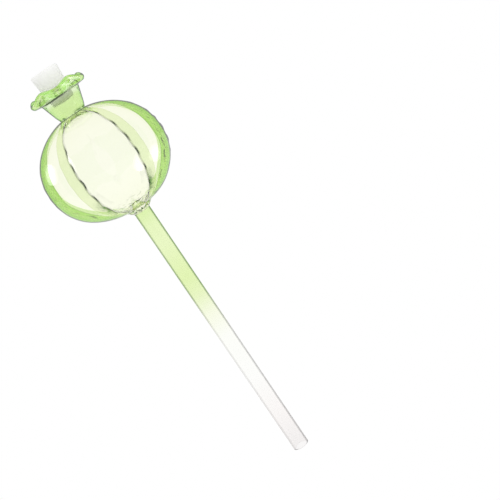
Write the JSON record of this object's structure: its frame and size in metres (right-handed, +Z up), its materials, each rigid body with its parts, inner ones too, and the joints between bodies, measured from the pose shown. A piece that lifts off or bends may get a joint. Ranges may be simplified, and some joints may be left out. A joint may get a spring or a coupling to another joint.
{
  "type": "watering globe",
  "caption": "Lobed blown-glass watering globe with a ruffled filling mouth, a pull-out silicone stopper and a long open glass stem that feeds water into potting soil.",
  "frame": {"origin": "centre of the stem's open tip", "axes": "+Z up along the stem to the stopper, -Y towards the viewer of the picture, with a lobe of the globe facing -Y"},
  "size_m": [0.0714, 0.0744, 0.25],
  "materials": {
    "green_glass": "clear pale green, glossy",
    "stem_glass": "green at the top, fading to clear at the tip",
    "silicone": "translucent white, satin"
  },
  "bodies": {
    "glass": {"stem": "stem_glass", "globe": "green_glass", "mouth": "green_glass"},
    "stopper": {"stopper": "silicone"}
  },
  "joints": [
    {"name": "stopper_pull", "type": "slide", "parent": "glass", "child": "stopper", "axis": [0, 0, 1], "range_m": [0, 0.04]}
  ]
}
